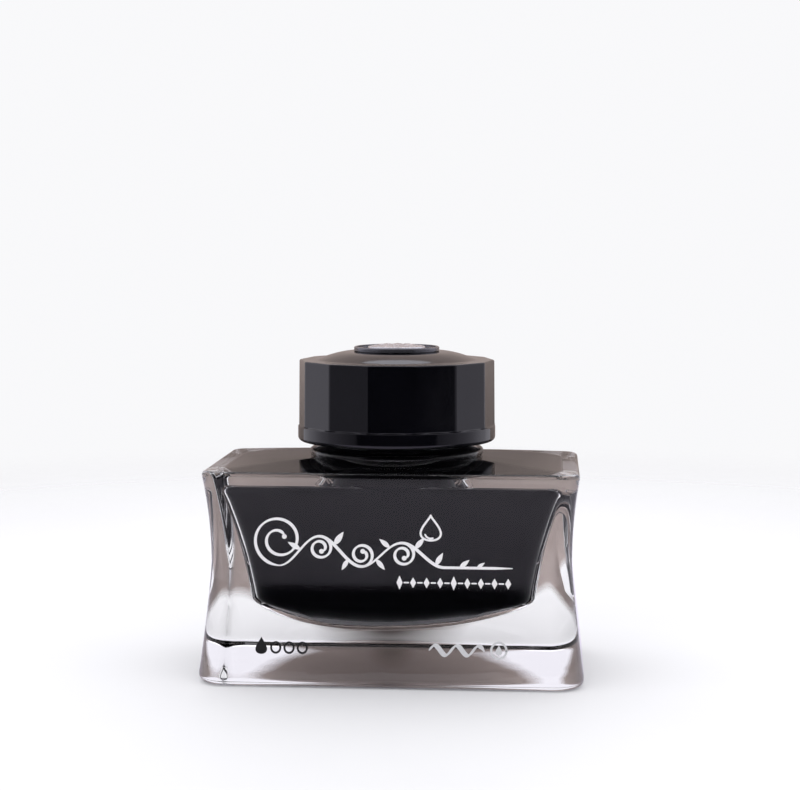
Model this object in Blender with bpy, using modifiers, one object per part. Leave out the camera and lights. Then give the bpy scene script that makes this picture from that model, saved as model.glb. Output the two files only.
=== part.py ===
"""A desk ink bottle: thick pressed-glass body, black ink and a faceted screw cap with a raised medallion.

Metres, +Z up. The origin is the centre of the base, on the table. The front of the bottle faces -Y.
"""

import math

import bmesh
import bpy

# Glass body, outside
TOP_WIDTH = 0.0780
TOP_DEPTH = 0.0440
BODY_HEIGHT = 0.0442
# Waisted walls: waist height, then how far the top and the base stand out from it and how sharply
SIDE_WAIST = (0.0250, 0.0016, 2.2, 0.0028, 1.15)
FRONT_WAIST = (0.0220, 0.0019, 2.2, 0.0031, 1.6)
CORNER_RADIUS_TOP = 0.0035
CORNER_RADIUS_BASE = 0.0060
TOP_EDGE_RADIUS = 0.0012
# The top face rises this far towards the neck
TOP_RISE = 0.0024
TOP_RISE_POWER = 1.4
BASE_EDGE_RADIUS = 0.0018

# Ink chamber
CHAMBER_FLOOR = 0.0084
CHAMBER_BOWL_HEIGHT = 0.0082
CHAMBER_TILT = 0.0012
CHAMBER_ROUNDNESS = 0.8
CHAMBER_CEILING = 0.0412
CHAMBER_HALF_WIDTH_LOW = 0.0298
CHAMBER_HALF_WIDTH_HIGH = 0.0357
CHAMBER_HALF_DEPTH_LOW = 0.0140
CHAMBER_HALF_DEPTH_HIGH = 0.0170
CHAMBER_CORNER_LOW = 0.0085
CHAMBER_CORNER_HIGH = 0.0050
CHAMBER_EDGE_RADIUS = 0.0022

# Neck
BORE_RADIUS = 0.01275
BORE_FLARE_RADIUS = 0.0168
BORE_FLARE_TOP = 0.0465
BEAD_RADIUS = 0.0185
BEAD_FOOT_RADIUS = 0.0145
BEAD_HEIGHT = 0.0467
NECK_RADIUS = 0.0156
NECK_TOP = 0.0616
INK_LEVEL = 0.0498

# Thread, right-handed
THREAD_PITCH = 0.00423
THREAD_TURNS = 1.25
NECK_THREAD_RADIUS = 0.0170
NECK_THREAD_START = 0.0515
NECK_THREAD_ROOT = 0.0024
NECK_THREAD_CREST = 0.0010
CAP_THREAD_RADIUS = 0.01595
CAP_THREAD_DROP = 0.00193
CAP_THREAD_ROOT = 0.0020
CAP_THREAD_CREST = 0.0009
THREAD_FADE = math.radians(30)

# Cap
FACETS = 14
FACET_TURN = math.radians(14.5)
FACET_EDGE_WIDTH = 0.0005
SKIRT_RADIUS = 0.02105
SKIRT_BOTTOM = 0.04885
SKIRT_TOP = 0.0521
SKIRT_EDGE_RADIUS = 0.0009
FACET_RADIUS_LOW = 0.02095
FACET_RADIUS_HIGH = 0.02083
FACET_TOP = 0.0660
FACET_CHAMFER = 0.0004
DOME_RADIUS = 0.0168
DOME_HEIGHT = 0.0018
DOME_FLAT_RADIUS = 0.0094
SHELL_BORE_RADIUS = 0.0187
SHELL_CEILING = 0.0643
SNAP_HEIGHT = 0.0508
SNAP_DEPTH = 0.0003
INSERT_BOTTOM = 0.0494
INSERT_RADIUS = 0.0186
INSERT_BORE_RADIUS = 0.01735
INSERT_TOP = 0.0642
INSERT_CEILING = 0.0630
LINER_RADIUS = 0.0170
LINER_BOTTOM = 0.0617
LINER_TOP = 0.0629

# Medallion
BEZEL_RADIUS = 0.0091
BEZEL_TOP = 0.0688
BEZEL_FOOT_RADIUS = 0.0083
BEZEL_WALL = 0.0007
BEZEL_FLOOR = 0.0682
POCKET_FLOOR = 0.0664
EMBLEM_RADIUS = 0.0061
EMBLEM_TOP = 0.0695
EMBLEM_FOOT_RADIUS = 0.0035
EMBLEM_FOOT_BOTTOM = 0.0675
PETALS = 8
PETAL_RELIEF = 0.00022

# Clearance between pieces that touch
GAP = 0.0001

# Fineness
CORNER_STEPS = 6
ROUND_STEPS = 56
HELIX_STEPS = 48


def clear_scene():
    for old in list(bpy.data.objects):
        bpy.data.objects.remove(old, do_unlink=True)


def new_collection(name, hidden):
    made = bpy.data.collections.new(name)
    bpy.context.scene.collection.children.link(made)
    made.hide_render = hidden
    return made


def new_material(name, colour, roughness, metallic=0.0, transmission=0.0, ior=1.5):
    made = bpy.data.materials.new(name)
    made.use_nodes = True
    shader = made.node_tree.nodes["Principled BSDF"]
    shader.inputs["Base Color"].default_value = (*colour, 1.0)
    shader.inputs["Roughness"].default_value = roughness
    shader.inputs["Metallic"].default_value = metallic
    shader.inputs["Transmission Weight"].default_value = transmission
    shader.inputs["IOR"].default_value = ior
    made.diffuse_color = (*colour, 1.0)
    made.roughness = roughness
    made.metallic = metallic
    return made


def place(mesh, name, collection, material=None, hidden=False):
    made = bpy.data.objects.new(name, mesh)
    collection.objects.link(made)
    if material:
        mesh.materials.append(material)
    if hidden:
        made.hide_render = True
        made.display_type = "WIRE"
    return made


def smooth(mesh, angle=30):
    mesh.shade_smooth()
    mesh.set_sharp_from_angle(angle=math.radians(angle))


def loft(name, rings, collection, material=None, hidden=False):
    """A closed skin over rings of equally many points, with a flat face on the first and the last."""
    form = bmesh.new()
    rows = [[form.verts.new(point) for point in ring] for ring in rings]
    count = len(rows[0])
    for low, high in zip(rows, rows[1:]):
        for i in range(count):
            j = (i + 1) % count
            form.faces.new((low[i], low[j], high[j], high[i]))
    form.faces.new(list(reversed(rows[0])))
    form.faces.new(rows[-1])
    bmesh.ops.recalc_face_normals(form, faces=form.faces[:])
    mesh = bpy.data.meshes.new(name)
    form.to_mesh(mesh)
    form.free()
    smooth(mesh)
    return place(mesh, name, collection, material, hidden)


def turned(name, profile, collection, material=None, hidden=False, closed=False):
    """A round piece: (radius, height) points, running down its outer side, turned about Z."""
    points = [(radius, 0.0, height) for radius, height in profile]
    edges = [(i, i + 1) for i in range(len(points) - 1)]
    if closed:
        edges.append((len(points) - 1, 0))
    mesh = bpy.data.meshes.new(name)
    mesh.from_pydata(points, edges, [])
    made = place(mesh, name, collection, material, hidden)
    screw = made.modifiers.new("Turn", "SCREW")
    screw.axis = "Z"
    screw.angle = 2 * math.pi
    screw.steps = ROUND_STEPS
    screw.render_steps = ROUND_STEPS
    screw.use_merge_vertices = True
    screw.merge_threshold = 0.00001
    screw.use_smooth_shade = True
    return made


def combine(target, other, operation):
    step = target.modifiers.new(f"{operation.title()} {other.name}", "BOOLEAN")
    step.operation = operation
    step.solver = "EXACT"
    step.object = other


def arc(centre, radii, start, end, steps):
    """Points of an elliptical arc in the (radius, height) plane. Degrees, from +radius towards +height."""
    points = []
    for i in range(steps + 1):
        angle = math.radians(start + (end - start) * i / steps)
        points.append((centre[0] + radii[0] * math.cos(angle), centre[1] + radii[1] * math.sin(angle)))
    return points


def rectangle_ring(half_width, half_depth, radius, height):
    """A rounded rectangle at one height, anticlockwise from above."""
    ring = []
    for quarter, (side_x, side_y) in enumerate(((1, 1), (-1, 1), (-1, -1), (1, -1))):
        centre_x = side_x * (half_width - radius)
        centre_y = side_y * (half_depth - radius)
        for step in range(CORNER_STEPS + 1):
            angle = math.pi / 2 * (quarter + step / CORNER_STEPS)
            ring.append((centre_x + radius * math.cos(angle), centre_y + radius * math.sin(angle), height))
    return ring


def body_spread(height, waist):
    """How far a waisted wall lies from its place at the top edge."""
    level, top, top_power, base, base_power = waist
    if height > level:
        return top * ((height - level) / (BODY_HEIGHT - level)) ** top_power - top
    return base * ((level - height) / level) ** base_power - top


def body_ring(height, inset):
    half_width = TOP_WIDTH / 2 + body_spread(height, SIDE_WAIST) - inset
    half_depth = TOP_DEPTH / 2 + body_spread(height, FRONT_WAIST) - inset
    share = height / BODY_HEIGHT
    radius = CORNER_RADIUS_BASE + (CORNER_RADIUS_TOP - CORNER_RADIUS_BASE) * share - 0.7 * inset
    return rectangle_ring(half_width, half_depth, radius, height)


def top_ring(share):
    """A ring of the top face, drawn in to a share of its outline."""
    height = BODY_HEIGHT + TOP_RISE * (1 - share**TOP_RISE_POWER)
    half_width = TOP_WIDTH / 2 - TOP_EDGE_RADIUS
    half_depth = TOP_DEPTH / 2 - TOP_EDGE_RADIUS
    radius = CORNER_RADIUS_TOP - 0.7 * TOP_EDGE_RADIUS
    return rectangle_ring(half_width * share, half_depth * share, radius * share, height)


def body_rings():
    rings = []
    for step in range(5):
        angle = math.radians(90 * step / 4)
        height = BASE_EDGE_RADIUS * (1 - math.cos(angle))
        rings.append(body_ring(height, BASE_EDGE_RADIUS * (1 - math.sin(angle))))
    low, high = BASE_EDGE_RADIUS, BODY_HEIGHT - TOP_EDGE_RADIUS
    rings += [body_ring(low + (high - low) * step / 12, 0.0) for step in range(1, 12)]
    for step in range(4):
        angle = math.radians(90 * step / 3)
        height = high + TOP_EDGE_RADIUS * math.sin(angle)
        rings.append(body_ring(height, TOP_EDGE_RADIUS * (1 - math.cos(angle))))
    return rings + [top_ring(1 - step / 10) for step in range(1, 8)]


def chamber_ring(height, inset):
    low = CHAMBER_FLOOR + CHAMBER_BOWL_HEIGHT
    share = max(0.0, (height - low) / (CHAMBER_CEILING - low))
    curve = 0.55 * share + 0.45 * share**2
    half_width = CHAMBER_HALF_WIDTH_LOW + (CHAMBER_HALF_WIDTH_HIGH - CHAMBER_HALF_WIDTH_LOW) * curve
    half_depth = CHAMBER_HALF_DEPTH_LOW + (CHAMBER_HALF_DEPTH_HIGH - CHAMBER_HALF_DEPTH_LOW) * curve
    corner = CHAMBER_CORNER_LOW + (CHAMBER_CORNER_HIGH - CHAMBER_CORNER_LOW) * curve
    return rectangle_ring(half_width - inset, half_depth - inset, corner - inset, height)


def bowl_ring(angle, gap):
    """A ring of the chamber's rounded floor: nearly an ellipse low down, the wall's outline at the top."""
    height = CHAMBER_FLOOR + gap + (CHAMBER_BOWL_HEIGHT - gap) * (1 - math.cos(angle))
    half_width, half_depth = CHAMBER_HALF_WIDTH_LOW - gap, CHAMBER_HALF_DEPTH_LOW - gap
    share = min(1.0, math.cos(angle) / 0.8)
    roundness = CHAMBER_ROUNDNESS * share**2 * (3 - 2 * share)
    ring = []
    for x, y, _ in chamber_ring(CHAMBER_FLOOR + CHAMBER_BOWL_HEIGHT, gap):
        scale = math.sin(angle) / math.hypot(x / half_width, y / half_depth) ** roundness
        tilt = CHAMBER_TILT * math.cos(angle) * x * scale / half_width
        ring.append((x * scale, y * scale, height + tilt))
    return ring


def chamber_rings(gap):
    """The chamber from its rounded floor to its ceiling, drawn in by gap on every side."""
    rings = [bowl_ring(math.radians(90 * step / 9), gap) for step in range(1, 10)]
    low = CHAMBER_FLOOR + CHAMBER_BOWL_HEIGHT
    high = CHAMBER_CEILING - CHAMBER_EDGE_RADIUS - gap
    rings += [chamber_ring(low + (high - low) * step / 6, gap) for step in range(1, 6)]
    for step in range(5):
        angle = math.radians(90 * step / 4)
        height = high + CHAMBER_EDGE_RADIUS * math.sin(angle)
        rings.append(chamber_ring(height, gap + CHAMBER_EDGE_RADIUS * (1 - math.cos(angle))))
    return rings


def flare_points(gap):
    """The bore's flared foot, from its top down to the chamber's ceiling."""
    points = []
    span = BORE_FLARE_TOP - CHAMBER_CEILING
    for step in range(7):
        widening = (BORE_FLARE_RADIUS - BORE_RADIUS) * (step / 6) ** 1.25
        points.append((BORE_RADIUS - gap + widening, BORE_FLARE_TOP - (span + gap) * step / 6))
    return points


def below_flare(points):
    """Closes a flare's profile inside the chamber."""
    bottom = CHAMBER_CEILING - 0.003
    return points + [(points[-1][0], bottom), (0.0, bottom)]


def bore_profile():
    """The bore cutter: open at the rounded lip, flared where it meets the chamber."""
    edge = 0.0006
    lip = arc((BORE_RADIUS + edge, NECK_TOP - edge), (edge, edge), 90, 180, 3)
    above = NECK_TOP + 0.001
    return [(0.0, above), (BORE_RADIUS + edge, above)] + lip + below_flare(flare_points(0.0))


def neck_profile():
    """The neck's outside, with the bead under the cap and the rounded lip."""
    lip = arc((NECK_RADIUS - 0.0008, NECK_TOP - 0.0008), (0.0008, 0.0008), 90, 0, 4)
    shoulder = [(NECK_RADIUS, BEAD_HEIGHT + 0.0014), (NECK_RADIUS + 0.0006, BEAD_HEIGHT + 0.0009)]
    rim = arc((BEAD_RADIUS - 0.0006, BEAD_HEIGHT), (0.0006, 0.0006), 80, 0, 4)
    reach = (BEAD_RADIUS - BEAD_FOOT_RADIUS, BEAD_HEIGHT - BODY_HEIGHT + 0.0002)
    bowl = arc((BEAD_FOOT_RADIUS, BEAD_HEIGHT), reach, -10, -80, 7)
    foot = [(bowl[-1][0], BODY_HEIGHT - 0.0016), (0.0, BODY_HEIGHT - 0.0016)]
    return [(0.0, NECK_TOP)] + lip + shoulder + rim + bowl + foot


def helix_rings(wall, crest, start, root_width, crest_width):
    """Sections of a right-handed thread ridge, fading into the wall at both ends."""
    rings = []
    total = 2 * math.pi * THREAD_TURNS
    count = int(HELIX_STEPS * THREAD_TURNS)
    into_wall = 0.0004 if wall < crest else -0.0004
    for step in range(count + 1):
        angle = total * step / count
        fade = min(1.0, angle / THREAD_FADE, (total - angle) / THREAD_FADE)
        top = wall + (crest - wall) * (0.02 + 0.98 * math.sin(math.pi / 2 * fade))
        middle = start + THREAD_PITCH * angle / (2 * math.pi)
        corners = (
            (wall - into_wall, middle - root_width / 2),
            (top, middle - crest_width / 2),
            (top, middle + crest_width / 2),
            (wall - into_wall, middle + root_width / 2),
        )
        rings.append([(r * math.cos(angle), r * math.sin(angle), z) for r, z in corners])
    return rings


def make_glass(parts, cutters, material):
    glass = loft("glass_bottle", body_rings(), parts, material)
    neck = turned("neck_form", neck_profile(), cutters, None, True)
    start, root, crest = NECK_THREAD_START, NECK_THREAD_ROOT, NECK_THREAD_CREST
    ridge = helix_rings(NECK_RADIUS, NECK_THREAD_RADIUS, start, root, crest)
    thread = loft("neck_thread_form", ridge, cutters, None, True)
    chamber = loft("chamber_form", chamber_rings(0.0), cutters, None, True)
    bore = turned("bore_form", bore_profile(), cutters, None, True)
    for other in (neck, thread):
        combine(glass, other, "UNION")
    for other in (chamber, bore):
        combine(glass, other, "DIFFERENCE")


def make_ink(parts, cutters, material):
    ink = loft("ink", chamber_rings(GAP), parts, material)
    profile = [(0.0, INK_LEVEL), (BORE_RADIUS - GAP, INK_LEVEL)] + below_flare(flare_points(GAP))
    plug = turned("ink_neck_form", profile, cutters, None, True)
    combine(ink, plug, "UNION")


def cap_ring(radius, height, faceted):
    """One ring of the cap, four points to a facet: a circle, or a polygon with narrow flats at its corners."""
    ring = []
    half = math.pi / FACETS
    apothem = radius * math.cos(half)
    half_flat = radius * math.sin(half) - FACET_EDGE_WIDTH / 2
    for facet in range(FACETS):
        middle = FACET_TURN - math.pi / 2 + half * (2 * facet + 1)
        for share in (-1.0, -1.0 / 3, 1.0 / 3, 1.0):
            offset = math.atan2(half_flat * share, apothem)
            reach = apothem / math.cos(offset) if faceted else radius
            ring.append((reach * math.cos(middle + offset), reach * math.sin(middle + offset), height))
    return ring


def shell_rings():
    """The cap's outside, from the bottom of the skirt up to the flat that carries the medallion."""
    rings = []
    for step in range(4):
        angle = math.radians(90 * step / 3)
        radius = SKIRT_RADIUS - SKIRT_EDGE_RADIUS * (1 - math.sin(angle))
        rings.append(cap_ring(radius, SKIRT_BOTTOM + SKIRT_EDGE_RADIUS * (1 - math.cos(angle)), False))
    rings.append(cap_ring(SKIRT_RADIUS, SKIRT_TOP - 0.0003, False))
    rings.append(cap_ring(SKIRT_RADIUS - 0.0001, SKIRT_TOP, False))
    rings.append(cap_ring(FACET_RADIUS_LOW, SKIRT_TOP + 0.0002, True))
    rings.append(cap_ring(FACET_RADIUS_HIGH, FACET_TOP - FACET_CHAMFER, True))
    rings.append(cap_ring(FACET_RADIUS_HIGH - FACET_CHAMFER / 3, FACET_TOP - FACET_CHAMFER / 3, True))
    rings.append(cap_ring(FACET_RADIUS_HIGH - FACET_CHAMFER, FACET_TOP, True))
    for step in range(6):
        share = step / 5
        radius = DOME_RADIUS + (DOME_FLAT_RADIUS - DOME_RADIUS) * share
        rings.append(cap_ring(radius, FACET_TOP + DOME_HEIGHT * math.sin(math.pi / 2 * share), False))
    return rings


def make_shell(parts, cutters, material):
    shell = loft("cap_shell", shell_rings(), parts, material)
    snap = SNAP_DEPTH
    hollow = [
        (0.0, SHELL_CEILING),
        (SHELL_BORE_RADIUS - 0.0005, SHELL_CEILING),
        (SHELL_BORE_RADIUS, SHELL_CEILING - 0.0005),
        (SHELL_BORE_RADIUS, SNAP_HEIGHT + 2 * snap),
        (SHELL_BORE_RADIUS + snap, SNAP_HEIGHT + snap),
        (SHELL_BORE_RADIUS + snap, SNAP_HEIGHT - snap),
        (SHELL_BORE_RADIUS, SNAP_HEIGHT - 2 * snap),
        (SHELL_BORE_RADIUS, SKIRT_BOTTOM + 0.0004),
        (SHELL_BORE_RADIUS + 0.0004, SKIRT_BOTTOM - 0.0005),
        (0.0, SKIRT_BOTTOM - 0.0005),
    ]
    combine(shell, turned("shell_hollow_form", hollow, cutters, None, True), "DIFFERENCE")
    top = FACET_TOP + DOME_HEIGHT + 0.001
    reach = BEZEL_FOOT_RADIUS + GAP
    pocket = [(0.0, top), (reach, top), (reach, POCKET_FLOOR), (0.0, POCKET_FLOOR)]
    combine(shell, turned("pocket_form", pocket, cutters, None, True), "DIFFERENCE")


def make_insert(parts, cutters, material):
    snap = SNAP_DEPTH
    outside = [
        (0.0, INSERT_TOP),
        (INSERT_RADIUS - 0.0006, INSERT_TOP),
        (INSERT_RADIUS, INSERT_TOP - 0.0006),
        (INSERT_RADIUS, SNAP_HEIGHT + 1.6 * snap),
        (INSERT_RADIUS + 0.8 * snap, SNAP_HEIGHT + 0.8 * snap),
        (INSERT_RADIUS + 0.8 * snap, SNAP_HEIGHT - 0.8 * snap),
        (INSERT_RADIUS, SNAP_HEIGHT - 1.6 * snap),
        (INSERT_RADIUS, INSERT_BOTTOM + 0.0003),
        (INSERT_RADIUS - 0.0003, INSERT_BOTTOM),
        (INSERT_BORE_RADIUS + 0.0004, INSERT_BOTTOM),
        (INSERT_BORE_RADIUS, INSERT_BOTTOM + 0.0004),
        (INSERT_BORE_RADIUS, INSERT_CEILING),
        (0.0, INSERT_CEILING),
    ]
    insert = turned("cap_thread_insert", outside, parts, material)
    start = NECK_THREAD_START - CAP_THREAD_DROP
    low = start + THREAD_PITCH / 2
    ridge = helix_rings(INSERT_BORE_RADIUS, CAP_THREAD_RADIUS, low, CAP_THREAD_ROOT, CAP_THREAD_CREST)
    half_turned = [[(-x, -y, z) for x, y, z in ring] for ring in ridge]
    combine(insert, loft("cap_thread_form", half_turned, cutters, None, True), "UNION")


def make_liner(parts, material):
    edge = 0.0002
    profile = [
        (0.0, LINER_TOP),
        (LINER_RADIUS - edge, LINER_TOP),
        (LINER_RADIUS, LINER_TOP - edge),
        (LINER_RADIUS, LINER_BOTTOM + edge),
        (LINER_RADIUS - edge, LINER_BOTTOM),
        (0.0, LINER_BOTTOM),
    ]
    turned("seal_liner", profile, parts, material)


def make_bezel(parts, material):
    seat = FACET_TOP + DOME_HEIGHT + GAP
    inner = BEZEL_RADIUS - BEZEL_WALL
    hole = EMBLEM_FOOT_RADIUS + GAP
    rim = arc((BEZEL_RADIUS - 0.0003, BEZEL_TOP - 0.0003), (0.0003, 0.0003), 90, 0, 2)
    profile = rim + [
        (BEZEL_RADIUS, seat),
        (BEZEL_FOOT_RADIUS, seat),
        (BEZEL_FOOT_RADIUS, POCKET_FLOOR + GAP),
        (hole, POCKET_FLOOR + GAP),
        (hole, BEZEL_FLOOR),
        (inner - 0.0002, BEZEL_FLOOR),
        (inner, BEZEL_FLOOR + 0.0002),
        (inner, BEZEL_TOP),
    ]
    turned("medallion_bezel", profile, parts, material, closed=True)


def emblem_ring(radius, height, relief):
    ring = []
    for step in range(ROUND_STEPS):
        angle = 2 * math.pi * step / ROUND_STEPS
        lift = relief * math.cos(PETALS * angle)
        ring.append((radius * math.cos(angle), radius * math.sin(angle), height + lift))
    return ring


def make_emblem(parts, material):
    """The domed disc in the medallion, with a plain petal relief, and its foot."""
    seat = BEZEL_FLOOR + GAP
    crown = EMBLEM_TOP - PETAL_RELIEF
    edge = seat + 0.00055
    rings = [
        emblem_ring(EMBLEM_FOOT_RADIUS, EMBLEM_FOOT_BOTTOM, 0.0),
        emblem_ring(EMBLEM_FOOT_RADIUS, seat, 0.0),
        emblem_ring(EMBLEM_RADIUS, seat + 0.00001, 0.0),
        emblem_ring(EMBLEM_RADIUS, edge - 0.0001, 0.0),
        emblem_ring(EMBLEM_RADIUS - 0.0002, edge, 0.0),
    ]
    for share in (0.90, 0.78, 0.62, 0.46, 0.30, 0.22, 0.10):
        height = edge + (crown - edge) * (1 - share**2)
        relief = PETAL_RELIEF * math.sin(math.pi * min(1.0, max(0.0, (share - 0.22) / 0.74)))
        rings.append(emblem_ring(EMBLEM_RADIUS * share, height, relief))
    loft("medallion_emblem", rings, parts, material)


def build():
    clear_scene()
    parts = new_collection("ink_bottle", False)
    cutters = new_collection("ink_bottle_forms", True)
    glass = new_material("clear_glass", (0.96, 0.97, 0.97), 0.02, 0.0, 1.0, 1.52)
    ink = new_material("black_ink", (0.004, 0.004, 0.006), 0.05, 0.0, 0.0, 1.34)
    shell = new_material("black_gloss_plastic", (0.010, 0.010, 0.012), 0.12)
    insert = new_material("black_thread_plastic", (0.014, 0.014, 0.016), 0.35)
    liner = new_material("white_foam", (0.75, 0.74, 0.72), 0.80)
    bezel = new_material("dark_enamelled_metal", (0.045, 0.047, 0.055), 0.22, 0.6)
    emblem = new_material("satin_silver", (0.78, 0.78, 0.80), 0.22, 1.0)
    make_glass(parts, cutters, glass)
    make_ink(parts, cutters, ink)
    make_shell(parts, cutters, shell)
    make_insert(parts, cutters, insert)
    make_liner(parts, liner)
    make_bezel(parts, bezel)
    make_emblem(parts, emblem)


build()
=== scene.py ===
import math

import bmesh
import bpy
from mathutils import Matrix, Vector


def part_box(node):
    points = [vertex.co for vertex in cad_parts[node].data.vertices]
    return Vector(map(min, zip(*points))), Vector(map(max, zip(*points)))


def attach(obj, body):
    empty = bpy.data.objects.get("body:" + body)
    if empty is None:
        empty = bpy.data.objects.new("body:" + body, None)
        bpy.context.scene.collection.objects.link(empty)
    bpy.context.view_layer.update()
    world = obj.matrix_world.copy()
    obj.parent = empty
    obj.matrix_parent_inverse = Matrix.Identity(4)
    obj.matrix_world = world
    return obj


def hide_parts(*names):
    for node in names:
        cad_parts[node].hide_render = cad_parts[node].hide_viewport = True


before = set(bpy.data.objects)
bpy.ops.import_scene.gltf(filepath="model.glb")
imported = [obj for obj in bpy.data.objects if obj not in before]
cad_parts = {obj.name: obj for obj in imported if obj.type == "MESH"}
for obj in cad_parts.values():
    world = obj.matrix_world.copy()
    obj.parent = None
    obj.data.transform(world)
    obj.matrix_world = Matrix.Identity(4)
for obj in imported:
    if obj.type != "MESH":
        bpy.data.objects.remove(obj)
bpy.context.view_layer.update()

# Where the CAD pieces are
GLASS_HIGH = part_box("glass_bottle")[1]
INK_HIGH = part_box("ink")[1]
SHELL_LOW, SHELL_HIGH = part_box("cap_shell")
INSERT_LOW, INSERT_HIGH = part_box("cap_thread_insert")
LINER_LOW, LINER_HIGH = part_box("seal_liner")
BEZEL_LOW, BEZEL_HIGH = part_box("medallion_bezel")
EMBLEM_LOW, EMBLEM_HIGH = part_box("medallion_emblem")

# Glass body, outside
NECK_TOP = GLASS_HIGH.z
SHOULDER = NECK_TOP - 0.0174
HALF_WIDTH_TOP = 0.0390
HALF_DEPTH_TOP = 0.0220
# Waisted walls: waist height, then how far the top and the base stand out from it and how sharply
SIDE_WAIST = (0.0250, 0.0016, 2.2, 0.0028, 1.15)
FRONT_WAIST = (0.0220, 0.0019, 2.2, 0.0031, 1.6)
CORNER_RADIUS_TOP = 0.0035
CORNER_RADIUS_BASE = 0.0060
TOP_EDGE_RADIUS = 0.0012
TOP_RISE = 0.0024
TOP_RISE_POWER = 1.4
BASE_EDGE_RADIUS = 0.0018
# How much of an inset comes off the radius of a corner
CORNER_SHRINK = 0.7

# Ink chamber
CHAMBER_FLOOR = 0.0084
CHAMBER_BOWL_HEIGHT = 0.0082
CHAMBER_TILT = 0.0012
CHAMBER_CEILING = SHOULDER - 0.0030
CHAMBER_HALF_WIDTHS = (0.0298, 0.0357)
CHAMBER_HALF_DEPTHS = (0.0140, 0.0170)
CHAMBER_CORNERS = (0.0085, 0.0050)
CHAMBER_EDGE_RADIUS = 0.0022
# How much of the widening from floor to ceiling is curved, and how near an ellipse the lowest rings are
CHAMBER_CURVE = 0.45
BOWL_ROUNDNESS = 0.8

# Neck and thread
BORE_RADIUS = 0.01275
BORE_FLARE_RADIUS = 0.0168
BORE_FLARE_TOP = SHOULDER + 0.0023
BORE_FLARE_POWER = 1.25
# How far the bore reaches past the chamber's ceiling, so that the two hollows join
BORE_OVERLAP = 0.003
BEAD_RADIUS = 0.0185
BEAD_FOOT_RADIUS = 0.0145
BEAD_HEIGHT = SHOULDER + 0.0025
NECK_RADIUS = 0.0156
INK_LEVEL = INK_HIGH.z
MENISCUS = 0.0005
MENISCUS_POWER = 24
THREAD_PITCH = 0.00423
THREAD_TURNS = 1.25
THREAD_FADE = math.radians(30)
THREAD_START = NECK_TOP - 0.0101
# Each thread's crest radius, its width at the root and its width at the crest
NECK_THREAD = (NECK_RADIUS + 0.0014, 0.0024, 0.0010)
CAP_THREAD = (0.01595, 0.0020, 0.0009)
CAP_THREAD_LIFT = 0.000185

# Cap
FACETS = 14
FACET_TURN = math.radians(14.5)
# How far each flat stops short of its corner, as a share of the cap's radius, and how far the corner drops
FACET_CORNER = 0.010
FACET_CORNER_DROP = 0.00005
SKIRT_RADIUS = SHELL_HIGH.x
SKIRT_TOP = SHELL_LOW.z + 0.00325
FACET_RADIUS_LOW = SKIRT_RADIUS - 0.0001
FACET_RADIUS_HIGH = SKIRT_RADIUS - 0.00022
FACET_FOOT = SKIRT_TOP + 0.0004
FACET_TOP = SHELL_HIGH.z - 0.0018
DOME_RADIUS = 0.0168
DOME_FLAT_RADIUS = 0.0094
SHELL_BORE_RADIUS = 0.0187
INSERT_RADIUS = 0.0186
INSERT_BORE_RADIUS = 0.01735

# The emblem: petals in a band, a ring of beads and a boss, with their places as shares of its radius
PETALS = 8
PETAL_BAND = (0.22, 0.78)
PETAL_RELIEF = 0.00026
BEADS = 36
BEAD_PLACE = 0.88
BEAD_HALF_WIDTH = 0.06
BEAD_RELIEF = 0.00012
BOSS_PLACE = 0.2
BOSS_RELIEF = 0.00022

# The vine print, in millimetres and degrees: tendrils (foot, side) and leaves (foot, heading, length)
VINE_START = -22.6
VINE_LENGTH = 47.8
VINE_WAVING_LENGTH = 34.0
VINE_LEVEL = 24.8
TENDRIL_RADIUS = 2.45
TENDRILS = ((-14.1, 1), (-5.6, -1), (2.9, 1))
LEAVES = (
    (-18.2, 150, 3.0),
    (-11.2, 55, 3.4),
    (-8.4, -120, 2.6),
    (-2.6, -50, 2.8),
    (0.2, 140, 2.8),
    (5.4, 50, 3.0),
    (9.6, 60, 3.0),
    (14.5, 40, 2.6),
    (18.0, 35, 2.0),
)

NIB_ANGLE = math.radians(38)
MILLIMETRE = 0.001
# How far a print's underside and face stand off the glass
PRINT_GAP = 0.000005
PRINT_LIFT = 0.00003

# How finely round shapes are stepped, which angles stay sharp, and how close points are merged
TURN_STEPS = 144
SHARP_ANGLE = 35
MERGE_DISTANCE = 0.000001

# Refractive indices
GLASS_INDEX = 1.52
INK_INDEX = 1.34

# The photograph's view: where the camera stands from the bottle's axis, in metres and radians
CAMERA_DISTANCE = 0.4042
CAMERA_SIDE = 0.0007
CAMERA_HEIGHT = 0.0936
CAMERA_PITCH = 0.0870
CAMERA_YAW = 0.0790
CAMERA_LENS = 85.5

# The floor and the warm card behind the bottle
FLOOR_RADIUS = 0.60
CARD_RADIUS = 0.0540
CARD_EDGE = 0.0030
CARD_DISTANCE = 0.031
CARD_HEIGHT = 0.052

# The studio as gloss sees it: (how far ahead of the camera a direction points, brightness)
STUDIO_PROFILE = (
    (-1.0, 0.003),
    (-0.68, 0.003),
    (-0.65, 0.20),
    (-0.54, 0.28),
    (-0.20, 0.50),
    (0.12, 0.78),
    (0.34, 1.0),
)
# How much extra light the studio gives to matt surfaces
DIFFUSE_LIFT = 0.33


# Shapes


def new_object(name, form, angle=SHARP_ANGLE):
    bmesh.ops.recalc_face_normals(form, faces=form.faces[:])
    mesh = bpy.data.meshes.new(name)
    form.to_mesh(mesh)
    form.free()
    mesh.shade_smooth()
    mesh.set_sharp_from_angle(angle=math.radians(angle))
    made = bpy.data.objects.new(name, mesh)
    bpy.context.scene.collection.objects.link(made)
    return made


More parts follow.
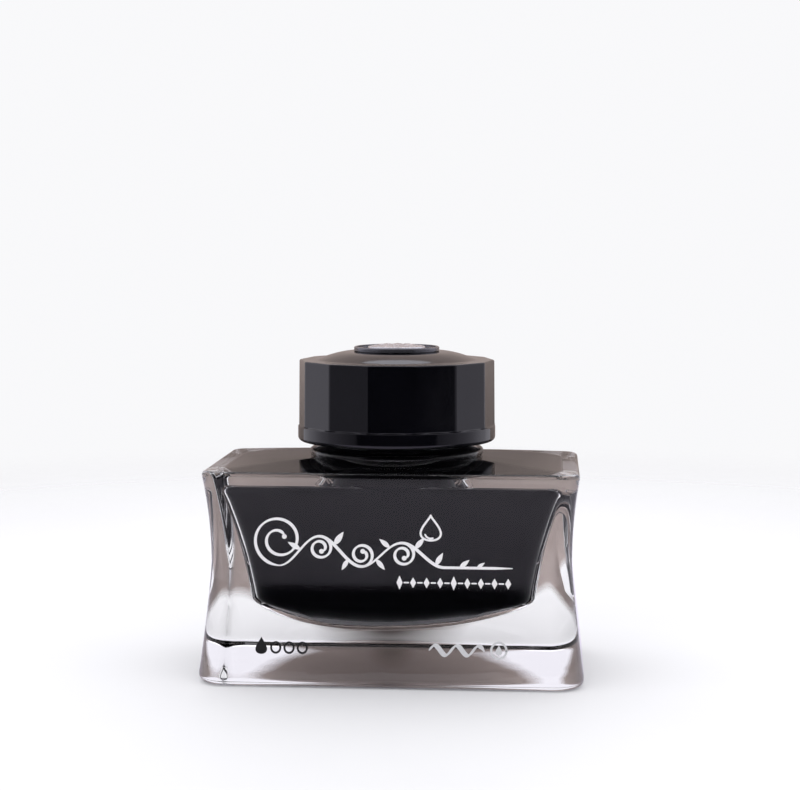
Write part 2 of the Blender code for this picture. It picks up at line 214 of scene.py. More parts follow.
def loft(name, rings, closed=False, angle=SHARP_ANGLE):
    """A skin over rings of equally many points: a solid with flat ends, or a closed hoop."""
    form = bmesh.new()
    rows = [[form.verts.new(point) for point in ring] for ring in rings]
    count = len(rows[0])
    pairs = list(zip(rows, rows[1:]))
    if closed:
        pairs.append((rows[-1], rows[0]))
    for low, high in pairs:
        for i in range(count):
            j = (i + 1) % count
            form.faces.new((low[i], low[j], high[j], high[i]))
    if not closed:
        form.faces.new(list(reversed(rows[0])))
        form.faces.new(rows[-1])
    return new_object(name, form, angle)


def circle_ring(radius, height, steps=TURN_STEPS):
    turns = [2 * math.pi * step / steps for step in range(steps)]
    return [(radius * math.cos(turn), radius * math.sin(turn), height) for turn in turns]


def turned(name, profile, closed=False):
    """A round piece from (radius, height) points. An open profile gets a flat face at each end."""
    return loft(name, [circle_ring(radius, height) for radius, height in profile], closed)


def arc(centre, radii, start, end, steps):
    points = []
    for i in range(steps + 1):
        angle = math.radians(start + (end - start) * i / steps)
        points.append((centre[0] + radii[0] * math.cos(angle), centre[1] + radii[1] * math.sin(angle)))
    return points


def combine(target, others, operation):
    """Cuts or joins, one after the other, removes the shapes used and clears slivers away."""
    for other in others:
        step = target.modifiers.new("Step", "BOOLEAN")
        step.operation = operation
        step.solver = "EXACT"
        step.object = other
        graph = bpy.context.evaluated_depsgraph_get()
        made = bpy.data.meshes.new_from_object(target.evaluated_get(graph))
        target.modifiers.clear()
        target.data = made
        bpy.data.objects.remove(other, do_unlink=True)
    form = bmesh.new()
    form.from_mesh(target.data)
    bmesh.ops.remove_doubles(form, verts=form.verts, dist=MERGE_DISTANCE)
    bmesh.ops.dissolve_degenerate(form, dist=MERGE_DISTANCE, edges=form.edges)
    form.to_mesh(target.data)
    form.free()
    target.data.shade_smooth()
    target.data.set_sharp_from_angle(angle=math.radians(SHARP_ANGLE))


def even_normals(piece):
    weighted = piece.modifiers.new("Even normals", "WEIGHTED_NORMAL")
    weighted.keep_sharp = True
    weighted.weight = 90
    return piece


def spaced(count, near):
    """Shares from 0 to 1, with one extra just inside each end."""
    return [0.0, near] + [step / count for step in range(1, count)] + [1.0 - near]


def rectangle_ring(half_width, half_depth, radius, height, corner_steps=10):
    """A rounded rectangle, anticlockwise from above, with points along its sides too."""
    ring = []
    corners = ((1, 1), (-1, 1), (-1, -1), (1, -1))
    long_side_steps, short_side_steps, near_corner = 8, 5, 0.012
    for quarter, (side_x, side_y) in enumerate(corners):
        centre = Vector((side_x * (half_width - radius), side_y * (half_depth - radius), height))
        for step in range(corner_steps):
            angle = math.pi / 2 * (quarter + step / corner_steps)
            ring.append(centre + radius * Vector((math.cos(angle), math.sin(angle), 0.0)))
        next_x, next_y = corners[(quarter + 1) % 4]
        after = Vector((next_x * (half_width - radius), next_y * (half_depth - radius), height))
        angle = math.pi / 2 * (quarter + 1)
        out = radius * Vector((math.cos(angle), math.sin(angle), 0.0))
        steps = long_side_steps if quarter % 2 == 0 else short_side_steps
        for share in spaced(steps, near_corner):
            ring.append(centre.lerp(after, share) + out)
    return ring


def between(pair, share):
    return pair[0] + (pair[1] - pair[0]) * share


def body_spread(height, waist):
    """How far a waisted wall lies from its place at the top edge."""
    level, top, top_power, base, base_power = waist
    if height > level:
        return top * ((height - level) / (SHOULDER - level)) ** top_power - top
    return base * ((level - height) / level) ** base_power - top


def body_ring(height, inset):
    half_width = HALF_WIDTH_TOP + body_spread(height, SIDE_WAIST) - inset
    half_depth = HALF_DEPTH_TOP + body_spread(height, FRONT_WAIST) - inset
    radius = between((CORNER_RADIUS_BASE, CORNER_RADIUS_TOP), height / SHOULDER) - CORNER_SHRINK * inset
    return rectangle_ring(half_width, half_depth, radius, height)


def front_y(height):
    return -HALF_DEPTH_TOP - body_spread(height, FRONT_WAIST)


def top_ring(share):
    """A ring of the top face, which rises gently towards the neck."""
    height = SHOULDER + TOP_RISE * (1 - share**TOP_RISE_POWER)
    half_width = HALF_WIDTH_TOP - TOP_EDGE_RADIUS
    half_depth = HALF_DEPTH_TOP - TOP_EDGE_RADIUS
    radius = CORNER_RADIUS_TOP - CORNER_SHRINK * TOP_EDGE_RADIUS
    return rectangle_ring(half_width * share, half_depth * share, radius * share, height)


def body_rings():
    """The glass block from its base up to the part of its top face that the neck covers."""
    rings = []
    base_steps, wall_steps, edge_steps = 8, 48, 7
    top_steps, covered_steps = 30, 6
    for step in range(base_steps + 1):
        angle = math.radians(90 * step / base_steps)
        height = BASE_EDGE_RADIUS * (1 - math.cos(angle))
        rings.append(body_ring(height, BASE_EDGE_RADIUS * (1 - math.sin(angle))))
    low, high = BASE_EDGE_RADIUS, SHOULDER - TOP_EDGE_RADIUS
    rings += [body_ring(low + (high - low) * step / wall_steps, 0.0) for step in range(1, wall_steps)]
    for step in range(edge_steps + 1):
        angle = math.radians(90 * step / edge_steps)
        height = high + TOP_EDGE_RADIUS * math.sin(angle)
        rings.append(body_ring(height, TOP_EDGE_RADIUS * (1 - math.cos(angle))))
    return rings + [top_ring(1 - step / top_steps) for step in range(1, top_steps - covered_steps)]


def chamber_ring(height, inset):
    low = CHAMBER_FLOOR + CHAMBER_BOWL_HEIGHT
    share = max(0.0, (height - low) / (CHAMBER_CEILING - low))
    curve = (1 - CHAMBER_CURVE) * share + CHAMBER_CURVE * share**2
    half_width = between(CHAMBER_HALF_WIDTHS, curve) - inset
    half_depth = between(CHAMBER_HALF_DEPTHS, curve) - inset
    corner = between(CHAMBER_CORNERS, curve) - inset
    return rectangle_ring(half_width, half_depth, max(corner, 0.0001), height)


def bowl_ring(angle, gap):
    """A ring of the chamber's rounded floor: nearly an ellipse low down, the wall's outline at the top."""
    height = CHAMBER_FLOOR + gap + (CHAMBER_BOWL_HEIGHT - gap) * (1 - math.cos(angle))
    low = CHAMBER_FLOOR + CHAMBER_BOWL_HEIGHT
    fully_round_from = 0.8
    share = min(1.0, math.cos(angle) / fully_round_from)
    roundness = BOWL_ROUNDNESS * share**2 * (3 - 2 * share)
    half_width, half_depth = CHAMBER_HALF_WIDTHS[0] - gap, CHAMBER_HALF_DEPTHS[0] - gap
    ring = []
    for point in chamber_ring(low, gap):
        reach = math.hypot(point.x / half_width, point.y / half_depth)
        scale = math.sin(angle) / reach**roundness
        x, y = point.x * scale, point.y * scale
        ring.append(Vector((x, y, height + CHAMBER_TILT * math.cos(angle) * x / half_width)))
    return ring


def chamber_rings(gap):
    """The hollow from floor to ceiling, smaller all round by a gap. A negative gap makes it larger."""
    floor_steps, wall_steps, edge_steps = 18, 20, 6
    rings = [bowl_ring(math.radians(90 * step / floor_steps), gap) for step in range(1, floor_steps + 1)]
    low = CHAMBER_FLOOR + CHAMBER_BOWL_HEIGHT
    high = CHAMBER_CEILING - CHAMBER_EDGE_RADIUS - gap
    rings += [chamber_ring(low + (high - low) * step / wall_steps, gap) for step in range(1, wall_steps)]
    for step in range(edge_steps + 1):
        angle = math.radians(90 * step / edge_steps)
        height = high + CHAMBER_EDGE_RADIUS * math.sin(angle)
        rings.append(chamber_ring(height, gap + CHAMBER_EDGE_RADIUS * (1 - math.cos(angle))))
    return rings


def flare_points(gap, steps=20):
    """The profile by which the bore widens on its way down into the chamber."""
    points = []
    span = BORE_FLARE_TOP - CHAMBER_CEILING
    for step in range(steps + 1):
        widening = (BORE_FLARE_RADIUS - BORE_RADIUS) * (step / steps) ** BORE_FLARE_POWER
        points.append((BORE_RADIUS - gap + widening, BORE_FLARE_TOP - (span + gap) * step / steps))
    return points


def bore_profile():
    edge = 0.0006
    above = NECK_TOP + 0.001
    lip = arc((BORE_RADIUS + edge, NECK_TOP - edge), (edge, edge), 90, 180, 8)
    foot = flare_points(0.0)
    return [(BORE_RADIUS + edge, above)] + lip + foot + [(foot[-1][0], CHAMBER_CEILING - BORE_OVERLAP)]


def neck_profile():
    """The neck's outside from its lip down over the bead and its rounded underside into the block."""
    lip_edge, bead_edge, bead_rise, foot_depth = 0.0008, 0.0006, 0.0015, 0.0016
    lip = arc((NECK_RADIUS - lip_edge, NECK_TOP - lip_edge), (lip_edge, lip_edge), 90, 0, 8)
    corner = (NECK_RADIUS + bead_edge, BEAD_HEIGHT + bead_rise)
    shoulder = arc(corner, (bead_edge, bead_edge), 180, 260, 6)
    rim = arc((BEAD_RADIUS - bead_edge, BEAD_HEIGHT), (bead_edge, bead_edge), 80, 0, 8)
    reach = (BEAD_RADIUS - BEAD_FOOT_RADIUS, BEAD_HEIGHT - SHOULDER + 0.0002)
    bowl = arc((BEAD_FOOT_RADIUS, BEAD_HEIGHT), reach, -5, -80, 24)
    return lip + shoulder + rim + bowl + [(bowl[-1][0], SHOULDER - foot_depth)]


def helix_rings(wall, thread, start, turned_by=0.0):
    """A thread's ridge on a wall of a given radius. It runs out softly at both ends."""
    crest, root_width, crest_width = thread
    half_root, half_crest = root_width / 2, crest_width / 2
    runout, rounding, wide, narrow = 0.02, 0.22, 1.08, 0.55
    into_wall = 0.0004 if wall < crest else -0.0004
    total = 2 * math.pi * THREAD_TURNS
    count = int(TURN_STEPS * THREAD_TURNS)
    rings = []
    for step in range(count + 1):
        angle = total * step / count
        fade = min(1.0, angle / THREAD_FADE, (total - angle) / THREAD_FADE)
        top = wall + (crest - wall) * (runout + (1 - runout) * math.sin(math.pi / 2 * fade))
        soft = top - rounding * (crest - wall) * fade
        middle = start + THREAD_PITCH * angle / (2 * math.pi)
        corners = (
            (wall - into_wall, middle - half_root),
            (soft, middle - half_crest * wide),
            (top, middle - half_crest * narrow),
            (top, middle + half_crest * narrow),
            (soft, middle + half_crest * wide),
            (wall - into_wall, middle + half_root),
        )
        turn = angle + turned_by + math.pi / TURN_STEPS
        rings.append([(r * math.cos(turn), r * math.sin(turn), z) for r, z in corners])
    return rings


def make_glass():
    """The pressed glass. Shadow rays pass it, as light passes real glass."""
    glass = loft("glass_block", body_rings())
    thread = helix_rings(NECK_RADIUS, NECK_THREAD, THREAD_START)
    combine(glass, [turned("neck", neck_profile()), loft("neck_thread", thread, angle=60)], "UNION")
    hollows = [loft("chamber", chamber_rings(0.0)), turned("bore", bore_profile())]
    combine(glass, hollows, "DIFFERENCE")
    even_normals(glass)
    glass.visible_shadow = False
    return glass


def make_ink():
    """The filling. It reaches a hair into the glass, so that light meets it with no film of air between."""
    film = 0.00005
    ink = loft("ink_fill", chamber_rings(-film))
    sides = [(BORE_RADIUS + film, INK_LEVEL + MENISCUS)] + flare_points(-film)
    radii = (0.004, 0.008, 0.0105, 0.0115, 0.0122, 0.0126)
    rises = [MENISCUS * (radius / BORE_RADIUS) ** MENISCUS_POWER for radius in radii]
    surface = [(radius, INK_LEVEL + rise) for radius, rise in zip(radii, rises)]
    profile = surface + sides + [(sides[-1][0], CHAMBER_CEILING - BORE_OVERLAP)]
    combine(ink, [turned("ink_neck", profile)], "UNION")
    return even_normals(ink)


def flat_half_angle():
    """Half the angle that a facet's flat part takes up."""
    half = math.pi / FACETS
    return math.atan2(math.sin(half) - FACET_CORNER, math.cos(half))


def facet_angles():
    """Polar angles of the points round the cap: across each facet's flat, then over its corner."""
    half = math.pi / FACETS
    inner = flat_half_angle()
    flat_shares = (-1.0, -0.96, -0.72, -0.48, -0.24, 0.0, 0.24, 0.48, 0.72, 0.96, 1.0)
    angles = []
    for facet in range(FACETS):
        middle = FACET_TURN - math.pi / 2 + half * (2 * facet + 1)
        angles += [middle + inner * share for share in flat_shares]
        corner = middle + half
        angles += [corner + (half - inner) * share for share in (-0.5, 0.0, 0.5)]
    return angles


def cap_ring(radius, height, faceted):
    """A ring of the cap, round or with facets whose corners are a hair softened."""
    half, inner = math.pi / FACETS, flat_half_angle()
    ring = []
    for angle in facet_angles():
        offset = (angle - FACET_TURN + math.pi / 2) % (2 * half) - half
        reach = radius
        if faceted:
            beyond = max(0.0, abs(offset) - inner) / (half - inner)
            reach = radius * math.cos(half) / math.cos(offset) - FACET_CORNER_DROP * beyond**2
        ring.append((reach * math.cos(angle), reach * math.sin(angle), height))
    return ring


def shell_outside():
    """The cap's outside: the round skirt, the facets standing on it, a narrow ledge and the dome."""
    low, skirt_edge, skirt_lip, edge = SHELL_LOW.z, 0.0009, 0.0003, 0.0004
    round_points = arc((SKIRT_RADIUS - skirt_edge, low + skirt_edge), (skirt_edge, skirt_edge), -90, 0, 8)
    round_points += arc((SKIRT_RADIUS - skirt_lip, SKIRT_TOP - skirt_lip), (skirt_lip, skirt_lip), 0, 80, 4)
    facet_points = [
        (FACET_RADIUS_LOW + 0.00010, SKIRT_TOP + 0.00017),
        (FACET_RADIUS_LOW + 0.00003, SKIRT_TOP + 0.00024),
        (FACET_RADIUS_LOW, FACET_FOOT),
    ]
    high = FACET_TOP - edge
    facet_steps = 8
    for step in range(1, facet_steps):
        share = step / facet_steps
        radius = between((FACET_RADIUS_LOW, FACET_RADIUS_HIGH), share)
        facet_points.append((radius, between((FACET_FOOT, high), share)))
    facet_points += arc((FACET_RADIUS_HIGH - edge, high), (edge, edge), 0, 90, 6)
    facet_points.append((FACET_RADIUS_HIGH - 2 * edge, FACET_TOP))
    top_points = [(DOME_RADIUS + 0.0010, FACET_TOP), (DOME_RADIUS + 0.0003, FACET_TOP + 0.00004)]
    dome_steps, dome_foot = 12, FACET_TOP + 0.00012
    for step in range(dome_steps + 1):
        share = step / dome_steps
        height = dome_foot + (SHELL_HIGH.z - dome_foot) * math.sin(math.pi / 2 * share)
        top_points.append((between((DOME_RADIUS, DOME_FLAT_RADIUS), share), height))
    rings = [cap_ring(radius, height, False) for radius, height in round_points]
    rings += [cap_ring(radius, height, True) for radius, height in facet_points]
    return rings + [cap_ring(radius, height, False) for radius, height in top_points]


def make_shell():
    """The outer cap, with a groove inside that the insert snaps into and a pocket for the medallion."""
    shell = loft("cap_outer", shell_outside())
    low, ceiling = SHELL_LOW.z, SHELL_HIGH.z - 0.0033
    corner, groove_depth = 0.0005, 0.0003
    groove_low, groove_high = low + 0.00135, low + 0.00255
    hollow = [
        (SHELL_BORE_RADIUS - corner, ceiling),
        (SHELL_BORE_RADIUS, ceiling - corner),
        (SHELL_BORE_RADIUS, groove_high),
        (SHELL_BORE_RADIUS + groove_depth, groove_high - groove_depth),
        (SHELL_BORE_RADIUS + groove_depth, groove_low + groove_depth),
        (SHELL_BORE_RADIUS, groove_low),
        (SHELL_BORE_RADIUS, low + 0.0004),
        (SHELL_BORE_RADIUS + 0.0004, low - 0.0005),
    ]
    pocket_radius, pocket_depth = 0.0084, 0.0012
    pocket = [(pocket_radius, SHELL_HIGH.z + 0.001), (pocket_radius, SHELL_HIGH.z - pocket_depth)]
    combine(shell, [turned("hollow", hollow), turned("pocket", pocket)], "DIFFERENCE")
    return even_normals(shell)


def make_insert():
    """The inner cap: a plain cup with the thread's ridge inside."""
    low, high = INSERT_LOW.z, INSERT_HIGH.z
    radius, bore, ceiling = INSERT_RADIUS, INSERT_BORE_RADIUS, high - 0.0012
    middle, top_edge, foot_edge, lead_in = 0.0002, 0.0006, 0.0003, 0.0004
    body = [
        (middle, high),
        (radius - top_edge, high),
        (radius, high - top_edge),
        (radius, low + foot_edge),
        (radius - foot_edge, low),
        (bore + lead_in, low),
        (bore, low + lead_in),
        (bore, ceiling - foot_edge),
        (bore - foot_edge, ceiling),
        (middle, ceiling),
    ]
    insert = turned("cap_inner", body)
    ridge = helix_rings(bore, CAP_THREAD, THREAD_START + CAP_THREAD_LIFT, math.pi)
    combine(insert, [loft("cap_thread", ridge, angle=60)], "UNION")
    return even_normals(insert)


def make_liner():
    """The sealing disc, with the dent that the neck's lip has pressed into it."""
    radius = LINER_HIGH.x
    low, high = LINER_LOW.z, LINER_HIGH.z
    edge, dent_depth = 0.0002, 0.00008
    top = arc((radius - edge, high - edge), (edge, edge), 90, 0, 4)
    bottom = arc((radius - edge, low + edge), (edge, edge), 0, -90, 4)
    dent = [(0.0152, low), (0.0149, low + dent_depth), (0.0138, low + dent_depth), (0.0135, low)]
    return even_normals(turned("liner_disc", [(0.004, high)] + top + bottom + dent))


def make_bezel():
    """The medallion's frame: a rounded rim, a fine groove round its side and a dished floor."""
    radius, high, seat = BEZEL_HIGH.x, BEZEL_HIGH.z, SHELL_HIGH.z + 0.0001
    inner, floor, foot, hole = radius - 0.0007, high - 0.0006, 0.0083, 0.0036
    edge, groove = 0.00035, 0.00008
    rim = arc((radius - edge, high - edge), (edge, edge), 90, 0, 8)
    profile = rim + [
        (radius, seat + 0.00042),
        (radius - groove, seat + 0.00036),
        (radius - groove, seat + 0.00030),
        (radius, seat + 0.00024),
        (radius, seat + groove),
        (radius - groove, seat),
        (foot, seat),
        (foot, BEZEL_LOW.z),
        (hole, BEZEL_LOW.z),
        (hole, floor),
        (inner - 0.0002, floor),
        (inner - 0.00006, floor + 0.00006),
        (inner, floor + 0.0002),
        (inner, high - 0.0001),
        (inner + 0.0001, high),
    ]
    return even_normals(turned("medallion_frame", profile, closed=True))


def emblem_height(share, angle, edge, crown):
    """A plain rosette: petals, a bead ring round them and a boss in the middle."""
    first, last = PETAL_BAND
    petal = abs(math.cos(PETALS / 2 * angle)) ** 0.8
    band = max(0.0, math.sin(math.pi * (share - first) / (last - first))) if first < share < last else 0.0
    bead = max(0.0, 1 - abs(share - BEAD_PLACE) / BEAD_HALF_WIDTH) * (0.5 + 0.5 * math.cos(BEADS * angle))
    boss = max(0.0, 1 - (share / BOSS_PLACE) ** 2)
    relief = PETAL_RELIEF * petal * band + BEAD_RELIEF * bead + BOSS_RELIEF * boss
    return edge + (crown - edge) * (1 - share**2) + relief


def make_emblem():
    """The domed emblem on its round foot."""
    radius, foot_radius = EMBLEM_HIGH.x, 0.0035
    seat, crown = BEZEL_HIGH.z - 0.0005, EMBLEM_HIGH.z - PETAL_RELIEF
    edge = seat + 0.00050
    steps, rows, dome_share = 288, 36, 0.98
    rings = [circle_ring(foot_radius, EMBLEM_LOW.z, steps), circle_ring(foot_radius, seat, steps)]
    rings += [circle_ring(radius, seat + 0.00001, steps), circle_ring(radius, edge - 0.00012, steps)]
    for step in range(rows, 0, -1):
        share = dome_share * step / rows
        ring = []
        for turn in range(steps):
            angle = 2 * math.pi * turn / steps
            height = emblem_height(share, angle, edge, crown)
            ring.append((radius * share * math.cos(angle), radius * share * math.sin(angle), height))
        rings.append(ring)
    return loft("medallion_rosette", rings, angle=50)


# Prints on the front


def smooth_path(points, steps=14):
    """A smooth curve through the points."""
    path = []
    padded = [2 * points[0] - points[1]] + points + [2 * points[-1] - points[-2]]
    for a, b, c, d in zip(padded, padded[1:], padded[2:], padded[3:]):
        for step in range(steps):
            t = step / steps
            square, cube = 2 * a - 5 * b + 4 * c - d, 3 * b - a - 3 * c + d
            path.append(0.5 * (2 * b + (c - a) * t + square * t**2 + cube * t**3))
    return path + [points[-1]]


def closed_path(points, steps=3):
    """A smooth curve that ends where it began."""
    return smooth_path(points + [points[0]], steps)


def add_slab(form, outline):
    """The edge of a thin film on the front face, from a flat outline of (x, z) points in millimetres."""
    rows = []
    for raised in (PRINT_GAP, PRINT_LIFT):
        row = []
        for point in outline:
            height = point[1] * MILLIMETRE
            row.append(form.verts.new((point[0] * MILLIMETRE, front_y(height) - raised, height)))
        rows.append(row)
    count = len(outline)
    for i in range(count):
        j = (i + 1) % count
        form.faces.new((rows[0][i], rows[0][j], rows[1][j], rows[1][i]))
    return rows


def add_stroke(form, path, width_at):
    """A pen stroke along a path, with rounded ends."""
    left, right = [], []
    last = len(path) - 1
    for i, point in enumerate(path):
        along = (path[min(i + 1, last)] - path[max(i - 1, 0)]).normalized()
        across = Vector((-along.y, along.x))
        half = width_at(i / last, along) / 2
        left.append(point + across * half)
        right.append(point - across * half)
    ends = (
        (path[-1], path[-1] - path[-2], left[-1] - path[-1]),
        (path[0], path[0] - path[1], right[0] - path[0]),
    )
    caps = []
    for middle, out, side in ends:
        tip = out.normalized() * side.length
        angles = [math.pi * step / 6 for step in range(1, 6)]
        caps.append([middle + side * math.cos(angle) + tip * math.sin(angle) for angle in angles])
    outline = left + caps[0] + right[::-1] + caps[1]
    rows = add_slab(form, outline)
    count, fan = len(left), len(caps[0])
    right_start = count + fan
    for row, flip in ((rows[0], True), (rows[1], False)):
        lefts, rights = row[:count], row[right_start : right_start + count][::-1]
        for i in range(count - 1):
            face = (lefts[i], lefts[i + 1], rights[i + 1], rights[i])
            form.faces.new(face[::-1] if flip else face)
        end_fan = [lefts[-1]] + row[count:right_start] + [rights[-1]]
        start_fan = [rights[0]] + row[right_start + count :] + [lefts[0]]
        for face in (end_fan, start_fan):
            form.faces.new(face[::-1] if flip else face)


def add_filled(form, outline):
    rows = add_slab(form, outline)
    form.faces.new(rows[0][::-1])
    form.faces.new(rows[1])


def pen_width(thin, thick):
    """A broad nib's width: thick across the nib's edge, thin along it, tapered at both ends."""
    edge = Vector((math.cos(NIB_ANGLE), math.sin(NIB_ANGLE)))

    def width(share, along):
        turn = abs(along.x * edge.y - along.y * edge.x)
        taper = min(1.0, 0.45 + share * 14, 0.35 + (1 - share) * 9)
        return (thin + (thick - thin) * turn) * taper

    return width


def even_width(width):
    return lambda share, along: width


def ellipse_points(centre, radii, start, end, steps):
    return [Vector(point) for point in arc(centre, radii, start, end, steps)]


def wind(centre, radius, start, sweep, inner, steps=72):
    """A spiral that begins on its outer circle at the start angle and winds inwards. Angles in degrees."""
    tightening = 0.85
    path = []
    for step in range(steps + 1):
        share = step / steps
        angle = math.radians(start + sweep * share)
        reach = inner + (radius - inner) * (1 - share) ** tightening
        path.append(Vector((centre[0] + reach * math.cos(angle), centre[1] + reach * math.sin(angle))))
    return path


def stem_height(x):
    """The vine's stem: two waves that die away into a level tail."""
    half_height, dying = 3.4, 1.2
    share = min(1.0, (x - VINE_START) / VINE_WAVING_LENGTH)
    return VINE_LEVEL + (half_height - dying * share) * (1 - math.cos(4 * math.pi * share))


def stem_path(steps=96):
    places = [VINE_START + VINE_LENGTH * step / steps for step in range(steps + 1)]
    return [Vector((x, stem_height(x))) for x in places]


def leaf_outline(base, heading, length, width):
    fullness_power = 0.8
    along = Vector((math.cos(math.radians(heading)), math.sin(math.radians(heading))))
    across = Vector((-along.y, along.x))

    def rim(t, side):
        return base + along * length * t + across * side * width / 2 * math.sin(math.pi * t**fullness_power)

    upper = [rim(step / 10, 1) for step in range(11)]
    lower = [rim(step / 10, -1) for step in range(9, 0, -1)]
    return (upper + lower)[::-1]


def drop_outline(centre, half_width, height, steps=40):
    taper_power, fullness = 1.6, 1.3
    points = []
    for step in range(steps):
        t = 2 * math.pi * step / steps
        x = half_width * math.sin(t) * math.sin(t / 2) ** taper_power * fullness
        points.append(Vector((centre[0] + x, centre[1] + height / 2 * math.cos(t))))
    return points


def finish_print(name, form, finish):
    piece = new_object(name, form, 60)
    piece.data.materials.append(finish)
    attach(piece, "bottle")


def make_white_print(finish):
    """A vine ornament: a great scroll, a waving stem with tendrils and leaves, and a level tail."""
    form = bmesh.new()
    pen = pen_width(0.40, 0.66)
    add_stroke(form, stem_path(), pen)
    scrolls = [wind((VINE_START, 30.2), 5.4, 270, -600, 1.3, 110)]
    for x, side in TENDRILS:
        centre = (x, stem_height(x) - TENDRIL_RADIUS * side)
        scrolls.append(wind(centre, TENDRIL_RADIUS, 90 * side, -520 * side, 0.75))
    for scroll in scrolls:
        add_stroke(form, scroll, pen)
        add_filled(form, ellipse_points(scroll[-1], (0.5, 0.5), 0, 342, 19))
    for x, heading, length in LEAVES:
        add_filled(form, leaf_outline(Vector((x, stem_height(x))), heading, length, length * 0.36))
    drop = drop_outline((8.6, 33.0), 2.3, 5.2)
    add_stroke(form, closed_path(drop), even_width(0.42))
    gleam = ellipse_points((8.6, 32.0), (1.2, 1.2), 200, 290, 5)
    add_stroke(form, smooth_path(gleam, 4), even_width(0.36))
    finish_print("print_flourish", form, finish)


def make_white_border(finish):
    """The small row under the flourish: lozenges between short bars."""
    form = bmesh.new()
    first, last, count, level = 2.2, 24.4, 9, 21.6
    half_width, half_bar = 0.62, 0.42
    for step in range(count):
        x = between((first, last), step / (count - 1))
        tall = 1.45 if step in (0, count // 2) else 1.1
        corners = ((x + half_width, level), (x, level + tall), (x - half_width, level), (x, level - tall))
        add_filled(form, [Vector(corner) for corner in corners])
        if step < count - 1:
            middle = x + (last - first) / (count - 1) / 2
            bar = [Vector((middle + offset, level)) for offset in (-half_bar, 0.0, half_bar)]
            add_stroke(form, bar, even_width(0.30))
    finish_print("print_border", form, finish)


def make_black_print(finish):
    """The dark mark low on the left: a filled drop and a row of three rings."""
    form = bmesh.new()
    first, apart = -23.2, 2.75
    add_filled(form, drop_outline((-26.2, 8.4), 1.35, 3.5)[::-1])
    for step in range(3):
        ring = ellipse_points((first + apart * step, 8.0), (0.95, 1.05), 0, 345, 22)
        add_stroke(form, closed_path(ring), even_width(0.42))
    finish_print("print_shade_mark", form, finish)


def make_grey_print(finish):
    """The pale mark low on the right: a ribbon wave and a round badge."""
    form = bmesh.new()
    start, length, level, rise = 8.4, 11.2, 8.0, 0.95
    steps, half_waves = 24, 5
    wave = []
    for step in range(steps + 1):
        share = step / steps
        height = level + rise * math.sin(half_waves * math.pi * share)
        wave.append(Vector((start + length * share, height)))
    add_stroke(form, smooth_path(wave, 5), pen_width(0.35, 1.0))
    ring = ellipse_points((22.6, 8.1), (1.55, 1.6), 0, 350, 28)
    add_stroke(form, closed_path(ring), even_width(0.45))
    add_filled(form, drop_outline((22.6, 8.2), 0.75, 2.0)[::-1])
    finish_print("print_badge", form, finish)


# Materials


def new_material(name, colour, roughness, metallic=0.0, ior=1.5):
    made = bpy.data.materials.new(name)
    made.use_nodes = True
    shader = made.node_tree.nodes["Principled BSDF"]
    shader.inputs["Base Color"].default_value = (*colour, 1.0)
    shader.inputs["Roughness"].default_value = roughness
    shader.inputs["Metallic"].default_value = metallic
    shader.inputs["IOR"].default_value = ior
    return made, made.node_tree, shader


def place_coordinates(tree):
    return tree.nodes.new("ShaderNodeTexCoord").outputs["Object"]


def add_noise(tree, scale, detail=3.0, stretch=None):
    where = place_coordinates(tree)
    if stretch:
        mapping = tree.nodes.new("ShaderNodeMapping")
        mapping.inputs["Scale"].default_value = stretch
        tree.links.new(where, mapping.inputs["Vector"])
        where = mapping.outputs["Vector"]
    noise = tree.nodes.new("ShaderNodeTexNoise")
    noise.inputs["Scale"].default_value = scale
    noise.inputs["Detail"].default_value = detail
    tree.links.new(where, noise.inputs["Vector"])
    return noise.outputs["Fac"]


def spread(tree, value, low, high, start=0.3, end=0.7):
    """Maps start to end onto low to high. Most noise lies between the usual start and end."""
    step = tree.nodes.new("ShaderNodeMapRange")
    step.inputs["From Min"].default_value = start
    step.inputs["From Max"].default_value = end
    step.inputs["To Min"].default_value = low
    step.inputs["To Max"].default_value = high
    tree.links.new(value, step.inputs["Value"])
    return step.outputs["Result"]


def add_bump(tree, shader, layers):
    """Layers of (height, depth in metres), one on top of the other."""
    normal = None
    for height, depth in layers:
        bump = tree.nodes.new("ShaderNodeBump")
        bump.inputs["Strength"].default_value = 1.0
        bump.inputs["Distance"].default_value = depth
        tree.links.new(height, bump.inputs["Height"])
        if normal:
            tree.links.new(normal, bump.inputs["Normal"])
        normal = bump.outputs["Normal"]
    tree.links.new(normal, shader.inputs["Normal"])


def add_math(tree, operation, *values):
    """A maths node on values that are numbers or other nodes' outputs."""
    node = tree.nodes.new("ShaderNodeMath")
    node.operation = operation
    for socket, value in zip(node.inputs, values):
        if isinstance(value, float):
            socket.default_value = value
        else:
            tree.links.new(value, socket)
    return node.outputs["Value"]


def add_mix(tree, share, first, last):
    """A blend of two colours, each given as a colour or as another node's output."""
    mix = tree.nodes.new("ShaderNodeMix")
    mix.data_type = "RGBA"
    for name, value in (("A", first), ("B", last)):
        if isinstance(value, tuple):
            mix.inputs[name].default_value = (*value, 1.0)
        else:
            tree.links.new(value, mix.inputs[name])
    tree.links.new(share, mix.inputs["Factor"])
    return mix.outputs["Result"]


def distance_from(tree, point):
    distance = tree.nodes.new("ShaderNodeVectorMath")
    distance.operation = "DISTANCE"
    distance.inputs[1].default_value = point
    tree.links.new(place_coordinates(tree), distance.inputs[0])
    return distance.outputs["Value"]


def vary_colour(tree, shader, value, low, high):
    tree.links.new(add_mix(tree, value, low, high), shader.inputs["Base Color"])


def vary_roughness(tree, shader, noise, low, high, start=0.3, end=0.7):
    tree.links.new(spread(tree, noise, low, high, start, end), shader.inputs["Roughness"])


